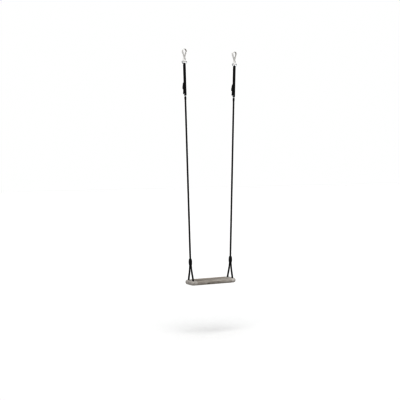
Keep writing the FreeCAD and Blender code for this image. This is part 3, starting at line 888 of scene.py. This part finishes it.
places = points_of(board)
normals = np.zeros(len(places) * 3)
board.data.vertices.foreach_get("normal", normals)
normals = normals.reshape(-1, 3)
centred = places - np.array(board_middle)
rings = noise_at(centred, 4, 75, 75)
fibres = noise_at(centred, 14, 300, 300, 3.1)
split_line = np.abs(noise_at(centred, 3.2, 70, 35, 7.7))
split_here = fade(noise_at(centred, 9, 24, 24, 1.3), 0.05, 0.3)
cracks = (1 - fade(split_line, 0.0, 0.045)) * split_here
edges = fade(1 - np.abs(normals).max(axis=1), 0.03, 0.26)
chips = edges * fade(noise_at(centred, 45, 60, 60, 5.2), 0.12, 0.5)
to_hole = np.hypot(np.abs(centred[:, 0]) - HOLE_X, np.abs(centred[:, 1]) - HOLE_Y)
in_groove = ((np.abs(np.abs(centred[:, 0]) - HOLE_X) < GROOVE_HALF)
             & (np.abs(centred[:, 1]) < HOLE_Y)
             & (normals[:, 2] < 0.5) & (centred[:, 2] < 2 * MM))
outside = np.where(in_groove, 0.0, fade(to_hole, 8 * MM, 12 * MM))
relief = (RELIEF_RINGS * rings + RELIEF_FIBRES * fibres - RELIEF_CRACKS * cracks
          - RELIEF_CHIPS * chips)
move_points(board, places + normals * (relief * outside)[:, None])
for label, values in (("cracks", cracks * outside), ("edges", edges),
                      ("mouths", 1 - fade(to_hole, 7 * MM, 10.5 * MM))):
    layer = board.data.attributes.new(label, "FLOAT", "POINT")
    layer.data.foreach_set("value", values.astype(np.float32))
print("relief from", round(relief.min() / MM, 2), "to", round(relief.max() / MM, 2), "mm")


# %% Weathered wood
def wood_finish():
    material, tree, shader = finish("weathered_wood", Specular_IOR_Level=0.18)
    centre = add(tree, "Mapping", Vector=add(tree, "TexCoord").outputs["Object"],
                 Location=tuple(-board_middle)).outputs[0]
    where = add(tree, "SeparateXYZ", Vector=centre)
    along, depth, up = where.outputs
    bands = noise_of(tree, stretched(tree, centre, 3, 60, 60), detail=3.0)
    fibre = noise_of(tree, stretched(tree, centre, 14, 420, 420), detail=6.0, roughness=0.65)
    blotch = noise_of(tree, stretched(tree, centre, 10, 20, 20), detail=3.0)
    dashes = noise_of(tree, stretched(tree, centre, 9, 55, 55), detail=2.0)
    tone = maths(tree, "ADD", maths(tree, "MULTIPLY", bands, 0.42),
                 maths(tree, "MULTIPLY_ADD", fibre, 0.38, maths(tree, "MULTIPLY", blotch, 0.2)))
    middle = ramp(tree, tone, (0.34, (0.182, 0.165, 0.148)), (0.45, (0.288, 0.269, 0.249)),
                  (0.54, (0.362, 0.345, 0.325)), (0.68, (0.470, 0.456, 0.438)))
    ends = ramp(tree, tone, (0.34, (0.302, 0.289, 0.274)), (0.48, (0.403, 0.389, 0.373)),
                (0.66, (0.504, 0.493, 0.478)))
    reach = maths(tree, "MULTIPLY_ADD", maths(tree, "SUBTRACT", fibre, 0.5), 0.006,
                  maths(tree, "ABSOLUTE", along))
    at_end = ramp(tree, maths(tree, "MULTIPLY", reach, 5.0), (0.760, 0.0), (0.778, 1.0))
    colour = mixed(tree, at_end, middle, ends)
    rim = ramp(tree, maths(tree, "MULTIPLY", reach, 5.0), (0.750, 0.0), (0.762, 0.45),
               (0.774, 0.0))
    colour = mixed(tree, rim, colour, (0.62, 0.58, 0.54), "MULTIPLY")
    pores = noise_of(tree, stretched(tree, centre, 24, 950, 950), detail=3.0, roughness=0.6)
    colour = mixed(tree, ramp(tree, pores, (0.52, 0.0), (0.62, 0.8)), colour,
                   (0.62, 0.585, 0.55), "MULTIPLY")
    brown = maths(tree, "MULTIPLY", ramp(tree, maths(tree, "MULTIPLY_ADD", depth, 8.0, 0.3),
                                         (0.42, 0.0), (0.72, 0.9)),
                  maths(tree, "SUBTRACT", 1.0, at_end))
    colour = mixed(tree, brown, colour, (0.84, 0.76, 0.67), "MULTIPLY")
    # Darker towards the bottom of the board, broken into dashes: partly dark streaks, partly
    # painted shade on the lower side, which faces away from the light.
    low = ramp(tree, maths(tree, "MULTIPLY_ADD", up, 20.0, 0.5), (0.2, 1.0), (0.55, 0.0))
    streak_and_painted_shade = maths(tree, "MULTIPLY", low, ramp(tree, dashes, (0.42, 0.15), (0.58, 1.0)))
    colour = mixed(tree, maths(tree, "MULTIPLY", streak_and_painted_shade, 0.75), colour, (0.78, 0.765, 0.75),
                   "MULTIPLY")
    fleck = noise_of(tree, stretched(tree, centre, 70, 240, 240), detail=1.0)
    rubbed = maths(tree, "MULTIPLY", ramp(tree, fleck, (0.63, 0.0), (0.70, 0.75)),
                   ramp(tree, blotch, (0.45, 0.0), (0.6, 1.0)))
    colour = mixed(tree, rubbed, colour, (0.45, 0.44, 0.425))
    worn = maths(tree, "MULTIPLY", add(tree, "Attribute", {"attribute_name": "edges"}).outputs[2],
                 ramp(tree, fibre, (0.42, 0.0), (0.62, 0.45)))
    colour = mixed(tree, worn, colour, (0.41, 0.395, 0.375))
    # The cracks are darkened almost to black: painted shade in the cracks.
    crack = add(tree, "Attribute", {"attribute_name": "cracks"}).outputs[2]
    colour = mixed(tree, maths(tree, "MULTIPLY", crack, 0.85), colour, (0.055, 0.045, 0.037))
    # The mouths of the holes are darkened: painted shade where the holes go into the board.
    mouth = add(tree, "Attribute", {"attribute_name": "mouths"}).outputs[2]
    colour = mixed(tree, maths(tree, "MULTIPLY", mouth, 0.55), colour, (0.085, 0.074, 0.064))
    tree.links.new(colour, shader.inputs["Base Color"])
    tree.links.new(ramp(tree, fibre, (0.3, 0.72), (0.7, 0.92)), shader.inputs["Roughness"])
    height = maths(tree, "MULTIPLY_ADD", fibre, 0.75, maths(tree, "MULTIPLY", bands, 0.5))
    height = maths(tree, "MULTIPLY_ADD", pores, -0.5, height)
    bump(tree, shader, height, 0.7 * MM, 0.8)
    return material


place_piece(board, "seat_board", "seat", wood_finish())

# %% [markdown]
# ## Light and floor
# The studio is plain: a pale floor, white all round, and one very large soft light high on the
# front left. Such a light leaves no hard shadow, and the top of the board still comes out
# brighter than its front, which is what makes its rounded edges readable. A thin black rope on
# white fades when its edges are averaged, so the view's gamma is low, and the lights and
# the finishes were set under it.

# %% Floor, sky and one soft sun
FLOOR_HEIGHT = -2.25
FLOOR_SIZE = 60
KEY_STRENGTH = 2.2
KEY_WIDTH = math.radians(60)
KEY_TURN = (math.radians(38), math.radians(-20), 0)
VIEW_GAMMA = 0.52
floor = start("studio_floor", bpy.ops.mesh.primitive_grid_add, x_subdivisions=8, y_subdivisions=8,
              size=FLOOR_SIZE, location=(0, 0, FLOOR_HEIGHT))
floor_paint, floor_tree, floor_shader = finish("pale_floor", Roughness=0.9,
                                               Specular_IOR_Level=0.1)
paint = noise_of(floor_tree, add(floor_tree, "TexCoord").outputs["Object"], scale=0.6)
floor_tree.links.new(ramp(floor_tree, paint, (0.3, 0.665), (0.7, 0.683)),
                     floor_shader.inputs["Base Color"])
dress(floor, floor_paint)
floor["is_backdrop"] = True

world = bpy.data.worlds.new("white_studio")
world.use_nodes = True
sky = world.node_tree.nodes["Background"]
sky.inputs["Color"].default_value = (1, 1, 1, 1)
sky.inputs["Strength"].default_value = 1.0
bpy.context.scene.world = world

bpy.ops.object.light_add(type="SUN", rotation=KEY_TURN)
key = bpy.context.object
key.name = "soft_key"
key.data.energy = KEY_STRENGTH
key.data.angle = KEY_WIDTH
view = bpy.context.scene.view_settings
view.view_transform = "Standard"
view.gamma = VIEW_GAMMA
print("lit by", key.name)

# %% Print the size of the CAD model and of what is drawn
for box_name, box in (("CAD", cad_box), ("visual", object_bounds())):
    print(box_name, [round(value, 4) for corner in box for value in corner])
